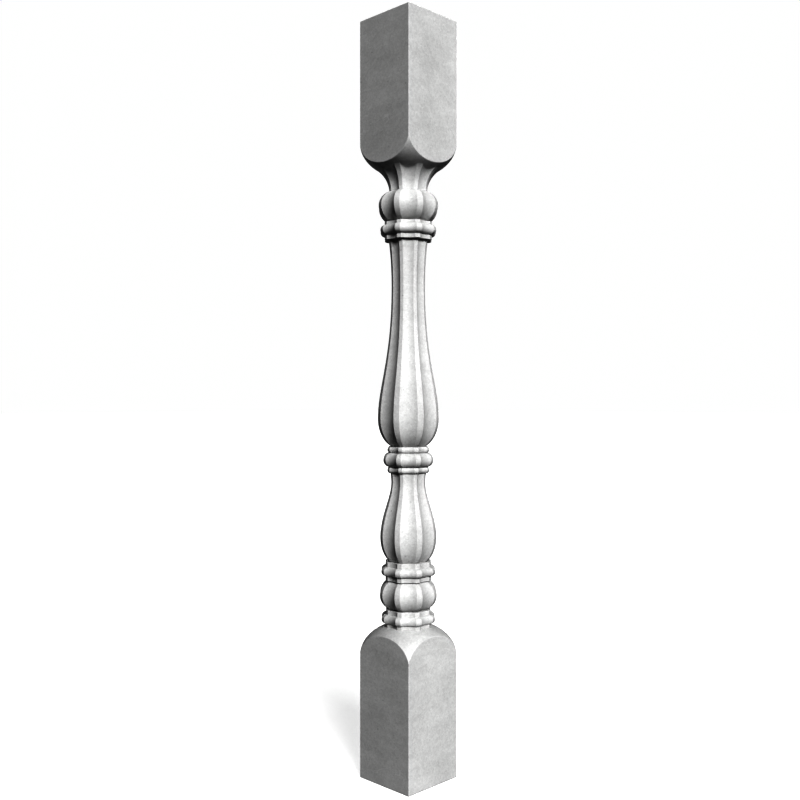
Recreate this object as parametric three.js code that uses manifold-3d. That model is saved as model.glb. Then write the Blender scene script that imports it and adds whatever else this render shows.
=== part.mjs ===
// A slender fluted stone baluster, cut from one square length of stone: a square block at each end,
// and between them a turned shaft whose eight flutes run through every moulding.
// Millimetres, +Z up. The origin is the centre of the underside, and the blocks' faces look along X and Y.

import * as THREE from "three";
import { mergeVertices } from "three/addons/utils/BufferGeometryUtils.js";
import Module from "manifold-3d";

// The square stone that the baluster is cut from
const LENGTH = 914.4;
const BLOCK_SIDE = 82.55;

// Each block keeps its sharp corners for this length, and then rounds in to the shaft
const LOWER_BLOCK_LENGTH = 148;
const UPPER_BLOCK_LENGTH = 148;

// The rounded shoulder is a quarter of an ellipse, turned about the axis and upright at the block's corners
const SHOULDER_RISE = 39.7;
const SHOULDER_REACH = 54.5;

// The flutes: hollows of one circular arc each, with a narrow flat land between neighbours.
// They scale with the shaft: angles about the axis, and the floor as a share of the crest radius.
const FLUTE_COUNT = 8;
const LAND_ANGLE = 11.4;
const FLUTE_FLOOR = 0.9;

// Mouldings from the lower block up. Radii are those of the lands, the crests between the flutes.
const LOWER_COLLAR = { height: 4.9, radius: 28.5 };
const BASE_BEAD = { height: 10.8, radius: 33.5 };
const BASE_FILLET = { height: 5.3, radius: 28.0 };

const LOWER_BULB = {
  foot: 20.8,
  lowerHeight: 17.6,
  lowerSweep: 74.2,
  radius: 35.5,
  upperHeight: 17.5,
  upperSweep: 72,
  head: 23.5,
};

const VASE_LOWER_FILLET = { height: 5.8, radius: 28.4 };
const VASE_BEAD = { height: 10.9, radius: 33.75 };
const VASE_UPPER_FILLET = { height: 5.8, radius: 28.45 };

const VASE = {
  foot: 22.5,
  lowerHeight: 30.4,
  lowerSweep: 66,
  radius: 35.1,
  riseHeight: 64.6,
  neck: 21.25,
  bellyPull: 0.36,
  neckPull: 0.29,
  headHeight: 11.5,
  headSweep: 35,
  head: 22.2,
};

// The knot between the two vases: a large bead between two small ones
const KNOT_ROOT = 22.6;
const LOWER_SMALL_BEAD = { height: 7.5, radius: 26.15 };
const LARGE_BEAD = { height: 17.0, radius: 31.3 };
const UPPER_SMALL_BEAD = { height: 7.4, radius: 26.1 };

// The long shaft: a low belly that draws in to a slender neck. Its rise takes up what the rest leaves.
const SHAFT = {
  foot: 20.8,
  lowerHeight: 33.3,
  lowerSweep: 68,
  radius: 38.1,
  neck: 20.9,
  bellyPull: 0.25,
  neckPull: 0.55,
  headHeight: 56.3,
  headSweep: 29,
  head: 24.4,
};

const CAP_LOWER_FILLET = { height: 5.9, radius: 29.45 };
const CAP_BEAD = { height: 11.8, radius: 35.0 };
const CAP_UPPER_FILLET = { height: 4.0, radius: 29.6 };

const UPPER_BULB = {
  foot: 22.9,
  lowerHeight: 19.2,
  lowerSweep: 71.3,
  radius: 37.1,
  upperHeight: 17.8,
  upperSweep: 70,
  head: 23.5,
};

const COVE = { height: 28.0, neck: 23.8, sweep: 47, radius: 37.8 };

// Flat steps that stand for each curve
const FLUTE_STEPS = 4;
const BEAD_STEPS = 6;
const SMALL_BEAD_STEPS = 4;
const BULB_STEPS = 4;
const VASE_FOOT_STEPS = 4;
const VASE_RISE_STEPS = 6;
const VASE_HEAD_STEPS = 2;
const SHAFT_FOOT_STEPS = 4;
const SHAFT_RISE_STEPS = 8;
const SHAFT_HEAD_STEPS = 3;
const COVE_STEPS = 4;
const SHOULDER_STEPS = 8;
const SHOULDER_SIDES = 48;

// Points nearer to each other than this are one point
const SAME_POINT = 1e-5;

// The shoulder's turned form is roughed out this far past the stone, and left this thick inside the shaft
const ROUGHING_MARGIN = 10;
const CORE_RADIUS = 10;

const wasm = await Module();
wasm.setup();

// One closed geometry as an exact solid
function solidOf(geometry) {
  geometry.deleteAttribute("normal");
  geometry.deleteAttribute("uv");
  const merged = mergeVertices(geometry, SAME_POINT);
  const mesh = new wasm.Mesh({
    numProp: 3,
    vertProperties: new Float32Array(merged.attributes.position.array),
    triVerts: new Uint32Array(merged.index.array),
  });
  return new wasm.Manifold(mesh);
}

// An exact solid as a geometry for a mesh
function geometryOf(solid) {
  const mesh = solid.getMesh();
  const geometry = new THREE.BufferGeometry();
  geometry.setAttribute("position", new THREE.BufferAttribute(mesh.vertProperties, 3));
  geometry.setIndex(new THREE.BufferAttribute(mesh.triVerts, 1));
  geometry.computeVertexNormals();
  return geometry;
}

// Elliptic arc, from the level where it is upright to the level where it ends
function arc(upright, end, uprightLevel, endLevel, sweep, steps) {
  const full = THREE.MathUtils.degToRad(sweep);
  const points = [];
  for (let i = 0; i <= steps; i++) {
    const angle = (full * i) / steps;
    const out = (1 - Math.cos(angle)) / (1 - Math.cos(full));
    const along = Math.sin(angle) / Math.sin(full);
    const radius = upright + (end - upright) * out;
    points.push(new THREE.Vector2(radius, uprightLevel + (endLevel - uprightLevel) * along));
  }
  return points;
}

// Every moulding has its height and, from the level it stands on, its outline from the bottom up
const curveLeavingUpright = (height, upright, end, sweep, steps) => ({
  height,
  outline: (level) => arc(upright, end, level, level + height, sweep, steps),
});

const curveArrivingUpright = (height, start, upright, sweep, steps) => ({
  height,
  outline: (level) => arc(upright, start, level + height, level, sweep, steps).reverse(),
});

const fillet = ({ height, radius }) => ({
  height,
  outline: (level) => [new THREE.Vector2(radius, level), new THREE.Vector2(radius, level + height)],
});

// A half round that stands out from its root
const bead = ({ height, radius }, lowerRoot, upperRoot, steps) => ({
  height,
  outline: (level) => {
    const points = [];
    for (let i = 0; i <= steps; i++) {
      const angle = (Math.PI * i) / steps;
      const root = i * 2 < steps ? lowerRoot : upperRoot;
      const middle = level + height / 2;
      const out = (radius - root) * Math.sin(angle);
      points.push(new THREE.Vector2(root + out, middle - (height / 2) * Math.cos(angle)));
    }
    return points;
  },
});

const bulb = (size) => [
  curveArrivingUpright(size.lowerHeight, size.foot, size.radius, size.lowerSweep, BULB_STEPS),
  curveLeavingUpright(size.upperHeight, size.radius, size.head, size.upperSweep, BULB_STEPS),
];

// A double curve, upright at the belly below and at the neck above
const rise = (height, size, steps) => ({
  height,
  outline: (level) =>
    new THREE.CubicBezierCurve(
      new THREE.Vector2(size.radius, level),
      new THREE.Vector2(size.radius, level + height * size.bellyPull),
      new THREE.Vector2(size.neck, level + height * (1 - size.neckPull)),
      new THREE.Vector2(size.neck, level + height),
    ).getPoints(steps),
});

// A vase: its rounded foot, its rise and its flared head
const vase = (size, riseHeight, footSteps, riseSteps, headSteps) => [
  curveArrivingUpright(size.lowerHeight, size.foot, size.radius, size.lowerSweep, footSteps),
  rise(riseHeight, size, riseSteps),
  curveLeavingUpright(size.headHeight, size.neck, size.head, size.headSweep, headSteps),
];

// How far past a block's sharp corners its shoulder has come when it is this wide
const blockCorner = BLOCK_SIDE / Math.SQRT2;
function shoulderHeightAt(radius) {
  const share = (radius - blockCorner + SHOULDER_REACH) / SHOULDER_REACH;
  return SHOULDER_RISE * Math.sqrt(1 - share * share);
}

// The mouldings stand on the lower shoulder and end against the upper one
const upperShoulderLevel = LENGTH - UPPER_BLOCK_LENGTH;
const footLevel = LOWER_BLOCK_LENGTH + shoulderHeightAt(LOWER_COLLAR.radius);
const headLevel = upperShoulderLevel - shoulderHeightAt(COVE.radius);

const below = [
  fillet(LOWER_COLLAR),
  bead(BASE_BEAD, LOWER_COLLAR.radius, BASE_FILLET.radius, BEAD_STEPS),
  fillet(BASE_FILLET),
  ...bulb(LOWER_BULB),
  fillet(VASE_LOWER_FILLET),
  bead(VASE_BEAD, VASE_LOWER_FILLET.radius, VASE_UPPER_FILLET.radius, BEAD_STEPS),
  fillet(VASE_UPPER_FILLET),
  ...vase(VASE, VASE.riseHeight, VASE_FOOT_STEPS, VASE_RISE_STEPS, VASE_HEAD_STEPS),
  bead(LOWER_SMALL_BEAD, KNOT_ROOT, KNOT_ROOT, SMALL_BEAD_STEPS),
  bead(LARGE_BEAD, KNOT_ROOT, KNOT_ROOT, BEAD_STEPS),
  bead(UPPER_SMALL_BEAD, KNOT_ROOT, KNOT_ROOT, SMALL_BEAD_STEPS),
];

const above = [
  fillet(CAP_LOWER_FILLET),
  bead(CAP_BEAD, CAP_LOWER_FILLET.radius, CAP_UPPER_FILLET.radius, BEAD_STEPS),
  fillet(CAP_UPPER_FILLET),
  ...bulb(UPPER_BULB),
  curveLeavingUpright(COVE.height, COVE.neck, COVE.radius, COVE.sweep, COVE_STEPS),
];

const heightOf = (mouldings) => mouldings.reduce((sum, moulding) => sum + moulding.height, 0);
const shaftHeight = headLevel - footLevel - heightOf(below) - heightOf(above);
const shaftRise = shaftHeight - SHAFT.lowerHeight - SHAFT.headHeight;
const shaft = vase(SHAFT, shaftRise, SHAFT_FOOT_STEPS, SHAFT_RISE_STEPS, SHAFT_HEAD_STEPS);

// The crest line of the shaft, run on into both blocks
function crestLine() {
  const points = [new THREE.Vector2(LOWER_COLLAR.radius, LOWER_BLOCK_LENGTH)];
  let level = footLevel;
  for (const moulding of [...below, ...shaft, ...above]) {
    points.push(...moulding.outline(level));
    level += moulding.height;
  }
  points.push(new THREE.Vector2(COVE.radius, upperShoulderLevel));
  return points.filter((point, i) => i === 0 || point.distanceTo(points[i - 1]) > SAME_POINT);
}

// The shaft's cross-section at a crest radius of one: hollow arcs with flat lands between them
function flutedSection() {
  const pitch = (2 * Math.PI) / FLUTE_COUNT;
  const half = (pitch - THREE.MathUtils.degToRad(LAND_ANGLE)) / 2;
  const chord = Math.sin(half);
  const sag = Math.cos(half) - FLUTE_FLOOR;
  const arcRadius = (chord * chord + sag * sag) / (2 * sag);
  const arcHalf = Math.asin(chord / arcRadius);
  const points = [];
  for (let flute = 0; flute < FLUTE_COUNT; flute++) {
    for (let i = 0; i <= FLUTE_STEPS; i++) {
      const turn = arcHalf * ((2 * i) / FLUTE_STEPS - 1);
      const outward = FLUTE_FLOOR + arcRadius * (1 - Math.cos(turn));
      const across = arcRadius * Math.sin(turn);
      points.push(new THREE.Vector2(outward, across).rotateAround(new THREE.Vector2(), flute * pitch));
    }
  }
  return points;
}

// The fluted shaft: one ring of the section for each point of the crest line, and a flat cap at each end
function flutedShaft() {
  const section = flutedSection();
  const line = crestLine();
  const count = section.length;
  const positions = [];
  for (const { x: radius, y: level } of line) {
    for (const point of section) {
      positions.push(point.x * radius, point.y * radius, level);
    }
  }
  const indices = [];
  for (let ring = 0; ring < line.length - 1; ring++) {
    for (let i = 0; i < count; i++) {
      const a = ring * count + i;
      const b = ring * count + ((i + 1) % count);
      indices.push(a, b, b + count, a, b + count, a + count);
    }
  }
  const last = (line.length - 1) * count;
  const lowerCentre = positions.length / 3;
  const upperCentre = lowerCentre + 1;
  positions.push(0, 0, line[0].y, 0, 0, line[line.length - 1].y);
  for (let i = 0; i < count; i++) {
    const next = (i + 1) % count;
    indices.push(lowerCentre, next, i);
    indices.push(upperCentre, last + i, last + next);
  }
  const geometry = new THREE.BufferGeometry();
  geometry.setAttribute("position", new THREE.Float32BufferAttribute(positions, 3));
  geometry.setIndex(indices);
  return geometry;
}

// Both shoulders as one turned form: wider than the stone at the blocks, and thinner than the shaft between
function turnedForm() {
  const wide = blockCorner + ROUGHING_MARGIN;
  const coreShare = (CORE_RADIUS - blockCorner + SHOULDER_REACH) / SHOULDER_REACH;
  const coreAngle = Math.acos(coreShare);
  const lower = [];
  const upper = [];
  for (let i = 0; i <= SHOULDER_STEPS; i++) {
    const angle = (coreAngle * i) / SHOULDER_STEPS;
    const radius = blockCorner - SHOULDER_REACH * (1 - Math.cos(angle));
    const height = SHOULDER_RISE * Math.sin(angle);
    lower.push(new THREE.Vector2(radius, LOWER_BLOCK_LENGTH + height));
    upper.unshift(new THREE.Vector2(radius, upperShoulderLevel - height));
  }
  const outline = [
    new THREE.Vector2(0, -ROUGHING_MARGIN),
    new THREE.Vector2(wide, -ROUGHING_MARGIN),
    new THREE.Vector2(wide, LOWER_BLOCK_LENGTH),
    ...lower,
    ...upper,
    new THREE.Vector2(wide, upperShoulderLevel),
    new THREE.Vector2(wide, LENGTH + ROUGHING_MARGIN),
    new THREE.Vector2(0, LENGTH + ROUGHING_MARGIN),
  ];
  return new THREE.LatheGeometry(outline, SHOULDER_SIDES).rotateX(Math.PI / 2);
}

function squareStone() {
  return new THREE.BoxGeometry(BLOCK_SIDE, BLOCK_SIDE, LENGTH).translate(0, 0, LENGTH / 2);
}

const blocks = solidOf(squareStone()).intersect(solidOf(turnedForm()));
const stone = new THREE.MeshStandardMaterial({ color: 0xc2c2c2, roughness: 0.42, metalness: 0 });
const baluster = new THREE.Mesh(geometryOf(blocks.add(solidOf(flutedShaft()))), stone);
baluster.name = "baluster";

const part = new THREE.Group();
part.name = "stone_baluster";
part.add(baluster);

export default part;
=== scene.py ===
# A slender fluted stone baluster on a pale studio floor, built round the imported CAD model.
# Metres, +Z up. The blocks' faces look along X and Y, and one block corner faces the camera.
import math

import bpy
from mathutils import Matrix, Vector


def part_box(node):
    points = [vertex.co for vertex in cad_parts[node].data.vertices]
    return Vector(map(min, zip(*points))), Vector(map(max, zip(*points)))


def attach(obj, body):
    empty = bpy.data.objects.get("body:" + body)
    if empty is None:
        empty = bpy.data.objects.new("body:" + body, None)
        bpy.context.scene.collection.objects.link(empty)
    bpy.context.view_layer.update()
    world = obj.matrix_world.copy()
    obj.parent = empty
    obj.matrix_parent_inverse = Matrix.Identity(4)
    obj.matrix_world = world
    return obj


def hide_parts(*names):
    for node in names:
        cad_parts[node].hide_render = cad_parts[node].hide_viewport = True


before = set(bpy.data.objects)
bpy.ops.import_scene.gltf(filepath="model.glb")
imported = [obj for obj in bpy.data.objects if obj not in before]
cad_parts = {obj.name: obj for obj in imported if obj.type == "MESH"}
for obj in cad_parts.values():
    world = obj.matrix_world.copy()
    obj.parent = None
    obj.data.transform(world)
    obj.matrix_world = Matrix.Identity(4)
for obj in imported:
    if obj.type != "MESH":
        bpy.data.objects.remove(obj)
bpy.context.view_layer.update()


# The baluster: one length of pale, fine grained stone. A square block is left at each end, the shaft
# between them is turned and then fluted through every moulding, and the whole is rubbed to a honed face.
# It stands on its foot block by its own weight.
stone_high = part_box("baluster")[1]
LENGTH = stone_high[2]
HALF_SIDE = stone_high[0]
BLOCK_CORNER = HALF_SIDE * math.sqrt(2)

# Each block keeps its corners for this length, and then rounds in by a quarter of an ellipse
LOWER_BLOCK_LENGTH = 0.148
UPPER_BLOCK_LENGTH = 0.148
SHOULDER_RISE = 0.0397
SHOULDER_REACH = 0.0545

# The hand-rubbed rounding of the edges: the blocks', the arches' and the thin fillets'
BLOCK_EASE = 0.0008
ARCH_EASE = 0.0008
FILLET_EASE = 0.00045


def shoulder_height(radius):
    """How far past the block's corners the shoulder has come when it is this wide."""
    share = (radius - BLOCK_CORNER + SHOULDER_REACH) / SHOULDER_REACH
    return SHOULDER_RISE * math.sqrt(1 - share * share)


def shoulder_turn(radius):
    """The ellipse's angle where the shoulder is this wide."""
    return math.acos(1 - (BLOCK_CORNER - radius) / SHOULDER_REACH)


def arc(upright, end, upright_level, end_level, sweep, steps):
    """An elliptic arc of the outline, from the level where it is upright."""
    full = math.radians(sweep)
    points = []
    for i in range(steps + 1):
        angle = full * i / steps
        out = (1 - math.cos(angle)) / (1 - math.cos(full))
        along = math.sin(angle) / math.sin(full)
        radius = upright + (end - upright) * out
        points.append((radius, upright_level + (end_level - upright_level) * along))
    return points


def fillet(line, height, radius):
    """A narrow straight band."""
    level = line[-1][1]
    line.extend([(radius, level), (radius, level + height)])


def bead(line, height, radius, upper_root, steps=12):
    """A half round that stands out from its root."""
    lower_root, level = line[-1]
    for i in range(1, steps + 1):
        angle = math.pi * i / steps
        root = lower_root if i * 2 < steps else upper_root
        out = (radius - root) * math.sin(angle)
        line.append((root + out, level + height / 2 * (1 - math.cos(angle))))


def swell(line, height, foot, radius, sweep, steps=12):
    """The rounded foot of a bulb or vase, upright where it is widest."""
    level = line[-1][1]
    line.extend(reversed(arc(radius, foot, level + height, level, sweep, steps)))


def close_in(line, height, head, sweep, steps=12):
    """The line leaves the upright and runs in, or flares out, to its head."""
    radius, level = line[-1]
    line.extend(arc(radius, head, level, level + height, sweep, steps)[1:])


def rise(line, height, neck, belly_pull, neck_pull, steps):
    """A double curve, upright at the belly below and at the neck above."""
    belly, level = line[-1]
    for i in range(1, steps + 1):
        t = i / steps
        weights = ((1 - t) ** 3, 3 * t * (1 - t) ** 2, 3 * t * t * (1 - t), t ** 3)
        radius = belly * (weights[0] + weights[1]) + neck * (weights[2] + weights[3])
        share = weights[1] * belly_pull + weights[2] * (1 - neck_pull) + weights[3]
        line.append((radius, level + height * share))


# The mouldings that stand on the lower shoulder, from the bottom up, and the foot of the long shaft.
# Radii are those of the lands, the crests between the flutes. A sweep is how much of its ellipse an arc
# takes in, in degrees, and a pull is how far a double curve keeps upright, as a share of its height.
LOWER_COLLAR = dict(height=0.0049, radius=0.0285)
BASE_BEAD = dict(height=0.0108, radius=0.0335)
BASE_FILLET = dict(height=0.0053, radius=0.0280)
LOWER_BULB_FOOT = dict(height=0.0176, foot=0.0208, radius=0.0355, sweep=74.2)
LOWER_BULB_HEAD = dict(height=0.0175, head=0.0235, sweep=72)
VASE_LOWER_FILLET = dict(height=0.0058, radius=0.0284)
VASE_BEAD = dict(height=0.0109, radius=0.03375)
VASE_UPPER_FILLET = dict(height=0.0058, radius=0.02845)
VASE_FOOT = dict(height=0.0304, foot=0.0225, radius=0.0351, sweep=66)
VASE_RISE = dict(height=0.0646, neck=0.02125, belly_pull=0.36, neck_pull=0.29)
VASE_HEAD = dict(height=0.0115, head=0.0222, sweep=35)
KNOT_ROOT = 0.0226
LOWER_SMALL_BEAD = dict(height=0.0075, radius=0.02615)
LARGE_BEAD = dict(height=0.0170, radius=0.0313)
UPPER_SMALL_BEAD = dict(height=0.0074, radius=0.0261)
SHAFT_FOOT = dict(height=0.0333, foot=0.0208, radius=0.0381, sweep=68)

foot_level = LOWER_BLOCK_LENGTH + shoulder_height(LOWER_COLLAR["radius"])
line = [(LOWER_COLLAR["radius"], foot_level)]
fillet(line, **LOWER_COLLAR)
bead(line, **BASE_BEAD, upper_root=BASE_FILLET["radius"])
fillet(line, **BASE_FILLET)
swell(line, **LOWER_BULB_FOOT)
close_in(line, **LOWER_BULB_HEAD)
fillet(line, **VASE_LOWER_FILLET)
bead(line, **VASE_BEAD, upper_root=VASE_UPPER_FILLET["radius"])
fillet(line, **VASE_UPPER_FILLET)
swell(line, **VASE_FOOT)
rise(line, **VASE_RISE, steps=18)
close_in(line, **VASE_HEAD, steps=5)
line.append((KNOT_ROOT, line[-1][1]))
bead(line, **LOWER_SMALL_BEAD, upper_root=KNOT_ROOT, steps=10)
bead(line, **LARGE_BEAD, upper_root=KNOT_ROOT, steps=14)
bead(line, **UPPER_SMALL_BEAD, upper_root=KNOT_ROOT, steps=10)
swell(line, **SHAFT_FOOT)

# The long shaft's rise takes up what the rest leaves. The cap's mouldings lie between its head and the
# cove, which flares into the head block's shoulder.
SHAFT_RISE = dict(neck=0.0209, belly_pull=0.25, neck_pull=0.55)
SHAFT_HEAD = dict(height=0.0563, head=0.0244, sweep=29)
CAP_LOWER_FILLET = dict(height=0.0059, radius=0.02945)
CAP_BEAD = dict(height=0.0118, radius=0.0350)
CAP_UPPER_FILLET = dict(height=0.0040, radius=0.0296)
UPPER_BULB_FOOT = dict(height=0.0192, foot=0.0229, radius=0.0371, sweep=71.3)
UPPER_BULB_HEAD = dict(height=0.0178, head=0.0235, sweep=70)
COVE_HEIGHT = 0.0280
COVE_NECK = 0.0238
COVE_RADIUS = 0.0378
COVE_SWEEP = 47

cap = [(CAP_LOWER_FILLET["radius"], 0)]
fillet(cap, **CAP_LOWER_FILLET)
bead(cap, **CAP_BEAD, upper_root=CAP_UPPER_FILLET["radius"])
fillet(cap, **CAP_UPPER_FILLET)
swell(cap, **UPPER_BULB_FOOT)
close_in(cap, **UPPER_BULB_HEAD)

upper_shoulder_level = LENGTH - UPPER_BLOCK_LENGTH
cove_level = upper_shoulder_level - shoulder_height(COVE_RADIUS) - COVE_HEIGHT
cap_level = cove_level - cap[-1][1]
shaft_rise = cap_level - SHAFT_HEAD["height"] - line[-1][1]
rise(line, height=shaft_rise, **SHAFT_RISE, steps=30)
close_in(line, **SHAFT_HEAD)
line.extend((radius, cap_level + level) for radius, level in cap)


def rounded(before, corner, after, steps=4):
    """Points that round a corner off, from the one before it to the one after it."""
    points = []
    for i in range(steps + 1):
        t = i / steps
        weights = ((1 - t) ** 2, 2 * t * (1 - t), t * t)
        points.append(tuple(weights[0] * a + weights[1] * b + weights[2] * c
                            for a, b, c in zip(before, corner, after)))
    return points


# Points of the outline nearer to each other than this are one point
SAME_POINT = 1e-7


def eased(line, ease, least_turn=40):
    """The outline with each corner that stands out rounded off."""
    kept = line[:1]
    kept.extend(point for before, point in zip(line, line[1:]) if math.dist(before, point) > SAME_POINT)
    points = kept[:1]
    for before, corner, after in zip(kept, kept[1:], kept[2:]):
        run = (corner[0] - before[0], corner[1] - before[1])
        on = (after[0] - corner[0], after[1] - corner[1])
        turn = math.atan2(run[0] * on[1] - run[1] * on[0], run[0] * on[0] + run[1] * on[1])
        if math.degrees(turn) < least_turn:
            points.append(corner)
            continue
        back = ease / math.hypot(*run)
        ahead = ease / math.hypot(*on)
        start = (corner[0] - run[0] * back, corner[1] - run[1] * back)
        end = (corner[0] + on[0] * ahead, corner[1] + on[1] * ahead)
        points.extend(rounded(start, corner, end))
    points.append(kept[-1])
    return points


shaft_line = eased(line, FILLET_EASE)

# Eight flutes run up the shaft, through beads and fillets alike: hollows of one round arc, with a narrow
# flat land between neighbours. Lengths are shares of the outline's radius, and the arrises are rubbed.
FLUTES = 8
LAND_ANGLE = 11.4
FLUTE_FLOOR = 0.9
ARRIS_EASE = 0.012

flute_pitch = 360 / FLUTES
flute_half = (flute_pitch - LAND_ANGLE) / 2
chord = math.sin(math.radians(flute_half))
sag = math.cos(math.radians(flute_half)) - FLUTE_FLOOR
flute_radius = (chord * chord + sag * sag) / (2 * sag)
flute_centre = FLUTE_FLOOR + flute_radius


def lesser(a, b, ease):
    """The lesser of two, run smoothly into each other where they are closer than ease."""
    overlap = max(ease - abs(a - b), 0)
    return min(a, b) - overlap * overlap / (4 * ease)


def section(turn):
    """The fluted section's radius at this angle, where the outline's is one."""
    from_flute = math.radians((turn + flute_pitch / 2) % flute_pitch - flute_pitch / 2)
    from_land = math.radians(turn % flute_pitch - flute_pitch / 2)
    land = math.cos(math.radians(LAND_ANGLE / 2)) / math.cos(from_land)
    across = flute_centre * math.sin(from_flute)
    hollow = land + ARRIS_EASE
    if abs(across) < flute_radius:
        hollow = flute_centre * math.cos(from_flute) - math.sqrt(flute_radius ** 2 - across ** 2)
    return lesser(land, hollow, ARRIS_EASE)


# A block's face is never the nearer one where it is seen at less than this cosine
LEAST_COSINE = 0.1


def block_radius(turn):
    """The square block's radius at this angle."""
    x_face = HALF_SIDE / max(abs(math.cos(math.radians(turn))), LEAST_COSINE)
    y_face = HALF_SIDE / max(abs(math.sin(math.radians(turn))), LEAST_COSINE)
    return lesser(x_face, y_face, BLOCK_EASE * math.sqrt(2))


def shoulder_point(angle):
    """The shoulder's radius and its height past the block's corners, at an angle of its ellipse."""
    radius = BLOCK_CORNER - SHOULDER_REACH * (1 - math.cos(angle))
    return radius, SHOULDER_RISE * math.sin(angle)


def block_and_shoulder(side, end_angle, block_length, wall_steps=5, shoulder_steps=12):
    """One column of a block, from the middle of its end's edge up its wall and over the shoulder."""
    inset = side * (1 - BLOCK_EASE / HALF_SIDE)
    points = rounded((inset, 0), (side, 0), (side, BLOCK_EASE))
    arch_angle = shoulder_turn(side)
    arch_level = block_length + SHOULDER_RISE * math.sin(arch_angle)
    lowest = 2 * BLOCK_EASE
    highest = arch_level - 2 * ARCH_EASE
    for i in range(wall_steps + 1):
        points.append((side, lowest + (highest - lowest) * i / wall_steps))
    pace = math.hypot(SHOULDER_REACH * math.sin(arch_angle), SHOULDER_RISE * math.cos(arch_angle))
    past = arch_angle + ARCH_EASE / pace
    radius, height = shoulder_point(past)
    below = (side, arch_level - ARCH_EASE)
    points.extend(rounded(below, (side, arch_level), (radius, block_length + height)))
    past += ARCH_EASE / pace
    for i in range(shoulder_steps + 1):
        radius, height = shoulder_point(past + (end_angle - past) * i / shoulder_steps)
        points.append((radius, block_length + height))
    return points


def cove_point(share):
    """The cove's crest radius and level, at a share of its arc."""
    angle = math.radians(COVE_SWEEP) * share
    full = math.radians(COVE_SWEEP)
    radius = COVE_NECK + (COVE_RADIUS - COVE_NECK) * (1 - math.cos(angle)) / (1 - math.cos(full))
    return radius, cove_level + COVE_HEIGHT * math.sin(angle) / math.sin(full)


def cove_end(depth, halvings=40):
    """How far along its arc the cove meets the upper shoulder, for this share of the crest radius."""
    low, high = 0.0, 1.0
    for _ in range(halvings):
        middle = (low + high) / 2
        radius, level = cove_point(middle)
        if level < upper_shoulder_level - shoulder_height(radius * depth):
            low = middle
        else:
            high = middle
    return low


def column(turn, cove_steps=12):
    """The whole outline at one angle about the axis, as radii and levels from the foot to the head."""
    depth = section(turn)
    side = block_radius(turn)
    foot_turn = shoulder_turn(LOWER_COLLAR["radius"] * depth)
    points = block_and_shoulder(side, foot_turn, LOWER_BLOCK_LENGTH)
    points.extend((radius * depth, level) for radius, level in shaft_line[1:])
    reach = cove_end(depth)
    for i in range(cove_steps + 1):
        radius, level = cove_point(reach * i / cove_steps)
        points.append((radius * depth, level))
    head = block_and_shoulder(side, shoulder_turn(points[-1][0]), UPPER_BLOCK_LENGTH)
    points.extend((radius, LENGTH - level) for radius, level in reversed(head[:-1]))
    return points


# Columns of the mesh, as angles from a flute's middle: evenly spaced steps over the hollow, close ones
# either side of its arris, and close ones round each block corner as shares of its rounding
HOLLOW_STEPS = 6
ARRIS_STEPS = (-3.0, -1.4, -0.75, -0.3, 0, 0.3, 0.75, 1.6, 3.6)
CORNER_SHARES = (0, 1 / 6, 1 / 3, 1 / 2, 1)

corner_turn = math.degrees(BLOCK_EASE * math.sqrt(2) / BLOCK_CORNER)
half_flute = [flute_half * i / HOLLOW_STEPS for i in range(HOLLOW_STEPS - 1)]
half_flute.extend(flute_half + step for step in ARRIS_STEPS)
half_flute.append(flute_pitch / 2)
block_corner = [corner_turn * share for share in CORNER_SHARES]
turns = set()
for flute in range(FLUTES):
    steps = half_flute + (block_corner if flute % 2 else [])
    for step in steps:
        turns.add(round((flute * flute_pitch + step) % 360, 4))
        turns.add(round((flute * flute_pitch - step) % 360, 4))

vertices = []
columns = [column(turn) for turn in sorted(turns)]
rows = len(columns[0])
for turn, points in zip(sorted(turns), columns):
    across = math.cos(math.radians(turn))
    along = math.sin(math.radians(turn))
    vertices.extend((radius * across, radius * along, level) for radius, level in points)
faces = []
for i in range(len(columns)):
    this = i * rows
    that = (i + 1) % len(columns) * rows
    for row in range(rows - 1):
        faces.append((this + row, that + row, that + row + 1, this + row + 1))
    faces.append((len(vertices), that, this))
    faces.append((len(vertices) + 1, this + rows - 1, that + rows - 1))
vertices.extend([(0, 0, 0), (0, 0, LENGTH)])

# Faces that meet at more than this angle, in degrees, keep a crisp edge between them
CRISP_ANGLE = 36

mesh = bpy.data.meshes.new("baluster_stone")
mesh.from_pydata(vertices, [], faces)
mesh.validate()
mesh.polygons.foreach_set("use_smooth", [True] * len(mesh.polygons))
mesh.set_sharp_from_angle(angle=math.radians(CRISP_ANGLE))
baluster = bpy.data.objects.new("baluster_stone", mesh)
bpy.context.collection.objects.link(baluster)

# Its finish: a light grey stone of fine crystal grain, with faint clouds and bedding, a few darker
# flecks, hairline seams of calcite and pin holes, honed to a low gloss. The rubbed arrises are a little
# paler and smoother. The quirks between the mouldings are darkened by painted shade, and are rougher.
DARK_STONE = (0.49, 0.49, 0.488, 1)
LIGHT_STONE = (0.67, 0.67, 0.668, 1)
FLECK = (0.36, 0.36, 0.36, 1)
CALCITE = (0.75, 0.75, 0.75, 1)
RUBBED_STONE = (0.70, 0.70, 0.70, 1)
# The colour of the painted shade laid into the quirks between the mouldings
QUIRK_PAINTED_SHADE = (0.42, 0.418, 0.412, 1)

stone = bpy.data.materials.new("honed_grey_stone")
stone.use_nodes = True
shader = stone.node_tree.nodes["Principled BSDF"]
mesh.materials.append(stone)


def stone_node(kind, inputs, **settings):
    """A node of the stone's finish. Each input takes a value, or another node's output."""
    node = stone.node_tree.nodes.new(kind)
    for name, value in settings.items():
        setattr(node, name, value)
    for name, value in inputs.items():
        if isinstance(value, bpy.types.NodeSocket):
            stone.node_tree.links.new(value, node.inputs[name])
        else:
            node.inputs[name].default_value = value
    return node


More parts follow.
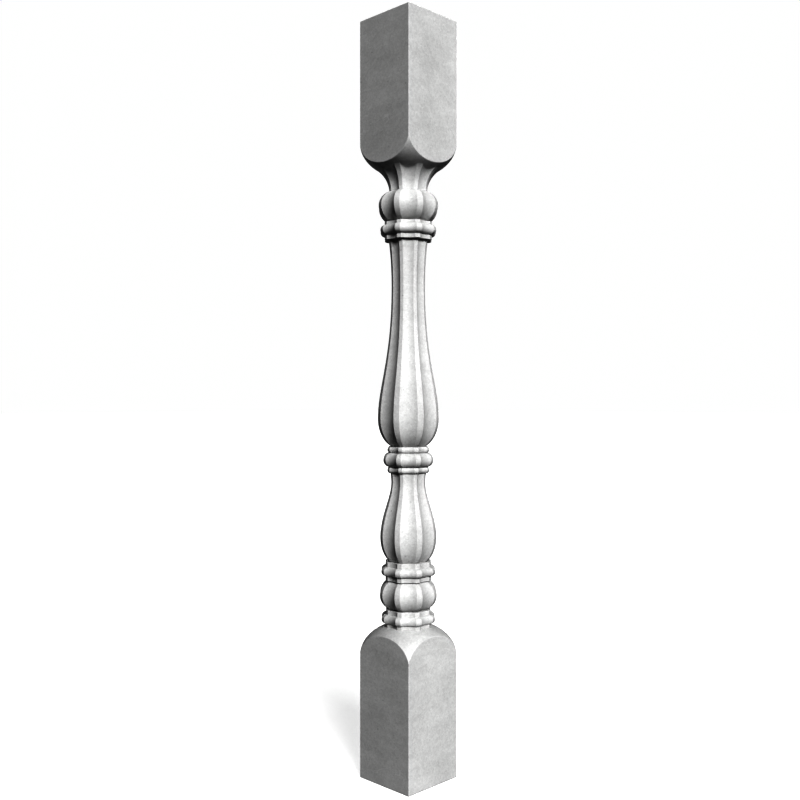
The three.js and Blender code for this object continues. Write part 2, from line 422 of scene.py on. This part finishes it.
def noise(place, scale, detail, roughness=0.5):
    """Soft noise, scale features to the metre."""
    inputs = {"Vector": place, "Scale": scale, "Detail": detail, "Roughness": roughness}
    return stone_node("ShaderNodeTexNoise", inputs).outputs["Fac"]


def crystals(place, scale):
    """Cells of one tone each, scale cells to the metre, and the distance from a cell's middle."""
    cells = stone_node("ShaderNodeTexVoronoi", {"Vector": place, "Scale": scale})
    tones = stone_node("ShaderNodeSeparateColor", {"Color": cells.outputs["Color"]})
    return tones.outputs["Red"], cells.outputs["Distance"]


def ranged(value, low, high, to_low=0.0, to_high=1.0):
    """The value's range from low to high, spread over another and held at its ends."""
    inputs = {"Value": value, "From Min": low, "From Max": high, "To Min": to_low, "To Max": to_high}
    return stone_node("ShaderNodeMapRange", inputs).outputs["Result"]


def calculate(operation, a, b):
    """Two values or outputs put together by arithmetic."""
    node = stone_node("ShaderNodeMath", {}, operation=operation)
    for socket, value in zip(node.inputs, (a, b)):
        if isinstance(value, bpy.types.NodeSocket):
            stone.node_tree.links.new(value, socket)
        else:
            socket.default_value = value
    return node.outputs["Value"]


def total(*terms):
    """The sum of outputs, each with its weight."""
    result = 0.0
    for value, weight in terms:
        result = calculate("ADD", result, calculate("MULTIPLY", value, weight))
    return result


def mixed(share, below, above):
    """One colour laid over another by a share that changes over the surface."""
    node = stone_node("ShaderNodeMix", {}, data_type="RGBA")
    for name, value in (("Factor_Float", share), ("A_Color", below), ("B_Color", above)):
        socket = next(each for each in node.inputs if each.identifier == name)
        if isinstance(value, bpy.types.NodeSocket):
            stone.node_tree.links.new(value, socket)
        else:
            socket.default_value = value
    return next(each for each in node.outputs if each.identifier == "Result_Color")


place = stone_node("ShaderNodeTexCoord", {}).outputs["Object"]
bed_inputs = {"Vector": place, "Rotation": (0.16, 0.1, 0), "Scale": (1, 1, 3.5)}
bed_place = stone_node("ShaderNodeMapping", bed_inputs).outputs["Vector"]

clouds = noise(place, scale=17, detail=4, roughness=0.55)
bedding = noise(bed_place, scale=20, detail=5, roughness=0.6)
coarse_grain = crystals(place, scale=420)[0]
fine_grain = crystals(place, scale=1100)[0]
powder = noise(place, scale=1900, detail=2)
tone = total((clouds, 0.75), (bedding, 0.55), (coarse_grain, 0.24), (fine_grain, 0.22), (powder, 0.3))
body = mixed(ranged(tone, low=0.62, high=1.44), DARK_STONE, LIGHT_STONE)

# Flecks sit in some of the widely spaced cells, and pin holes in some of the closer ones
fleck_tone, fleck_distance = crystals(place, scale=105)
fleck_cells = ranged(fleck_tone, low=0.55, high=0.75)
flecks = calculate("MULTIPLY", ranged(fleck_distance, low=0.13, high=0.06), fleck_cells)
pin_tone, pin_distance = crystals(place, scale=260)
pin_cells = ranged(pin_tone, low=0.8, high=0.85)
pin_holes = calculate("MULTIPLY", ranged(pin_distance, low=0.12, high=0.05), pin_cells)

# A seam runs where a soft noise passes its middle value, and only in places
seam_noise = noise(bed_place, scale=7, detail=3, roughness=0.55)
seam_distance = calculate("ABSOLUTE", calculate("SUBTRACT", seam_noise, 0.5), 0.0)
seam_places = ranged(noise(place, scale=6, detail=1), low=0.52, high=0.62)
seams = calculate("MULTIPLY", ranged(seam_distance, low=0.004, high=0.001), seam_places)

# Pointiness is a half on the flat, more on the arrises and less in the quirks
shape = stone_node("ShaderNodeNewGeometry", {}).outputs["Pointiness"]
patches = noise(place, scale=240, detail=3, roughness=0.6)
rubbed_places = ranged(patches, low=0.35, high=0.6, to_low=0.35)
rubbed = calculate("MULTIPLY", ranged(shape, low=0.515, high=0.56), rubbed_places)
# Painted shade: the quirks, where pointiness is low, are darkened in colour in patches. The same mask
# makes them rougher
painted_shade_places = ranged(patches, low=0.3, high=0.7, to_low=0.5)
quirk_painted_shade = calculate("MULTIPLY", ranged(shape, low=0.485, high=0.42), painted_shade_places)

colour = mixed(calculate("MULTIPLY", flecks, 0.55), body, FLECK)
colour = mixed(calculate("MULTIPLY", seams, 0.4), colour, CALCITE)
colour = mixed(calculate("MULTIPLY", pin_holes, 0.6), colour, FLECK)
colour = mixed(calculate("MULTIPLY", rubbed, 0.55), colour, RUBBED_STONE)
# Painted shade darkens the quirks
colour = mixed(calculate("MULTIPLY", quirk_painted_shade, 0.6), colour, QUIRK_PAINTED_SHADE)
stone.node_tree.links.new(colour, shader.inputs["Base Color"])

# The honed face's own roughness, and how little its open grain reflects
HONED_ROUGHNESS = 0.38
REFLECTANCE = 0.2

# The quirks' painted-shade mask also makes them rougher
dulling = total(
    (clouds, 0.10), (coarse_grain, 0.07), (powder, 0.10), (rubbed, -0.06), (quirk_painted_shade, 0.2), (pin_holes, 0.2)
)
roughness = calculate("ADD", dulling, HONED_ROUGHNESS)
stone.node_tree.links.new(roughness, shader.inputs["Roughness"])
shader.inputs["Specular IOR Level"].default_value = REFLECTANCE

# Relief, in metres: the slight waves of hand rubbing, the grain, and the pin holes
waves = noise(place, scale=45, detail=2)
relief = total(
    (waves, 0.9e-4), (coarse_grain, 1.2e-5), (powder, 2.5e-5), (pin_holes, -1.5e-4), (seams, -2e-5)
)
bump = stone_node("ShaderNodeBump", {"Height": relief, "Distance": 1.0, "Strength": 1.0})
stone.node_tree.links.new(bump.outputs["Normal"], shader.inputs["Normal"])

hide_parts("baluster")
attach(baluster, "root")


# The studio: a plain pale floor, so evenly bright that it runs into the white behind it. It throws no
# light back up, so that the undersides of the mouldings keep their depth.
FLOOR_REACH = 30
FLOOR_GAP = 0.0002
FLOOR_COLOUR = (0.4, 0.4, 0.4, 1)
FLOOR_ROUGHNESS = 0.9
FLOOR_GLOW = 0.8

corners = ((-1, -1), (1, -1), (1, 1), (-1, 1))
floor_corners = [(x * FLOOR_REACH, y * FLOOR_REACH, -FLOOR_GAP) for x, y in corners]
floor_mesh = bpy.data.meshes.new("studio_floor")
floor_mesh.from_pydata(floor_corners, [], [(0, 1, 2, 3)])
floor = bpy.data.objects.new("studio_floor", floor_mesh)
bpy.context.collection.objects.link(floor)
floor.visible_diffuse = False
floor.visible_glossy = False

pale = bpy.data.materials.new("pale_floor")
pale.use_nodes = True
floor_shader = pale.node_tree.nodes["Principled BSDF"]
floor_shader.inputs["Base Color"].default_value = FLOOR_COLOUR
floor_shader.inputs["Roughness"].default_value = FLOOR_ROUGHNESS
floor_shader.inputs["Emission Color"].default_value = (1, 1, 1, 1)
floor_shader.inputs["Emission Strength"].default_value = FLOOR_GLOW
floor_mesh.materials.append(pale)

# The white surround: bright behind the stone, and a faint fill on it
SURROUND_BEHIND = 1.0
SURROUND_ON_STONE = 0.06

world = bpy.data.worlds.new("studio")
world.use_nodes = True
surround = world.node_tree.nodes
rays = surround.new("ShaderNodeLightPath")
brightness = surround.new("ShaderNodeMapRange")
brightness.inputs["To Min"].default_value = SURROUND_ON_STONE
brightness.inputs["To Max"].default_value = SURROUND_BEHIND
background = surround["Background"]
background.inputs["Color"].default_value = (1, 1, 1, 1)
world.node_tree.links.new(rays.outputs["Is Camera Ray"], brightness.inputs["Value"])
world.node_tree.links.new(brightness.outputs["Result"], background.inputs["Strength"])
bpy.context.scene.world = world

# The view keeps the light's own steps from black to white, as the photograph does
bpy.context.scene.view_settings.view_transform = "Raw"


# The camera stands level, at about half the baluster's height, and looks along a diagonal of the blocks.
# The baluster's axis is a little to the right of the middle.
CAMERA_AZIMUTH = math.radians(45)
CAMERA_DISTANCE = 1.1686
CAMERA_HEIGHT = 0.4564
CAMERA_ASIDE = 0.01003
FOCAL_LENGTH = 43.456
SENSOR_WIDTH = 36

camera_data = bpy.data.cameras.new("camera")
camera_data.sensor_width = SENSOR_WIDTH
camera_data.lens = FOCAL_LENGTH
camera = bpy.data.objects.new("camera", camera_data)
bpy.context.collection.objects.link(camera)
back = Vector((math.sin(CAMERA_AZIMUTH), -math.cos(CAMERA_AZIMUTH), 0))
right = Vector((math.cos(CAMERA_AZIMUTH), math.sin(CAMERA_AZIMUTH), 0))
camera.location = back * CAMERA_DISTANCE - right * CAMERA_ASIDE + Vector((0, 0, CAMERA_HEIGHT))
camera.rotation_euler = (math.radians(90), 0, CAMERA_AZIMUTH)
bpy.context.scene.camera = camera

# Soft distant lights: a key from the camera's right, one behind, and a weak one from behind each side.
# Each has its angle to the camera's right, its height above the horizon, its strength and its width.
# Only the key glints on the stone, so that the rims stay clear of the white behind them.
LIGHTS = {
    "key": (17.5, 27, 5.35, 20),
    "behind": (180, 3, 2.8, 20),
    "right_side": (146, 5, 0.9, 16),
    "left_side": (-146, 5, 1.4, 16),
}
for name, (aside, elevation, strength, width) in LIGHTS.items():
    light_data = bpy.data.lights.new(name, "SUN")
    light_data.energy = strength
    light_data.angle = math.radians(width)
    light = bpy.data.objects.new(name, light_data)
    bpy.context.collection.objects.link(light)
    azimuth = CAMERA_AZIMUTH + math.radians(aside)
    level = math.cos(math.radians(elevation))
    up = math.sin(math.radians(elevation))
    towards = Vector((math.sin(azimuth) * level, -math.cos(azimuth) * level, up))
    light.rotation_euler = towards.to_track_quat("Z", "Y").to_euler()
    light.visible_glossy = name == "key"
